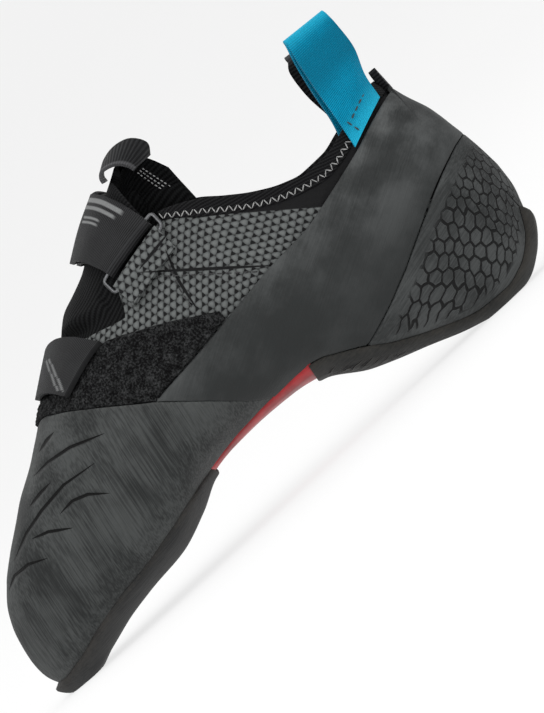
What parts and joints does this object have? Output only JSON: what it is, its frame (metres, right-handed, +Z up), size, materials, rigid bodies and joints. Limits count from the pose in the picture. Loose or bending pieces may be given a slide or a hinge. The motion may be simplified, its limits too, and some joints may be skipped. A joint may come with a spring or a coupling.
{
  "type": "climbing shoe",
  "caption": "Downturned climbing shoe, left, with a rubber toe, rand, split sole, two hook-and-loop straps and two pull loops, standing empty on heel and toe",
  "frame": {"origin": "middle of the flat spot under the heel, on the floor", "axes": "+X from toe to heel along the shoe, +Y from the lateral to the medial side, +Z up"},
  "size_m": [0.2499, 0.0922, 0.139],
  "materials": {
    "black_rubber": "matte, buffed",
    "grey_rubber": "matte, cloudy",
    "textile": "pebbled grey over black",
    "knit": "dark stretch knit",
    "pile": "black loop pile",
    "webbing": "black woven ribbon",
    "blue_ribbon": "blue ribbed ribbon",
    "wire": "bright round wire",
    "red_plate": "glossy red"
  },
  "bodies": {
    "root": {"upper": "textile", "toe_rubber": "black_rubber", "outsole": "black_rubber", "arch_plate": "red_plate", "heel_sole": "black_rubber", "heel_cup": "black_rubber", "rand": "grey_rubber", "insole": "knit", "tongue": "knit", "collar_cuff": "knit", "loop_field": "pile", "lower_strap": "webbing", "upper_strap": "webbing", "strap_ring": "wire", "ring_keeper": "textile", "pull_loop_lateral": "blue_ribbon", "pull_loop_medial": "webbing", "tongue_loop": "webbing", "heel_tab": "webbing"}
  },
  "joints": []
}
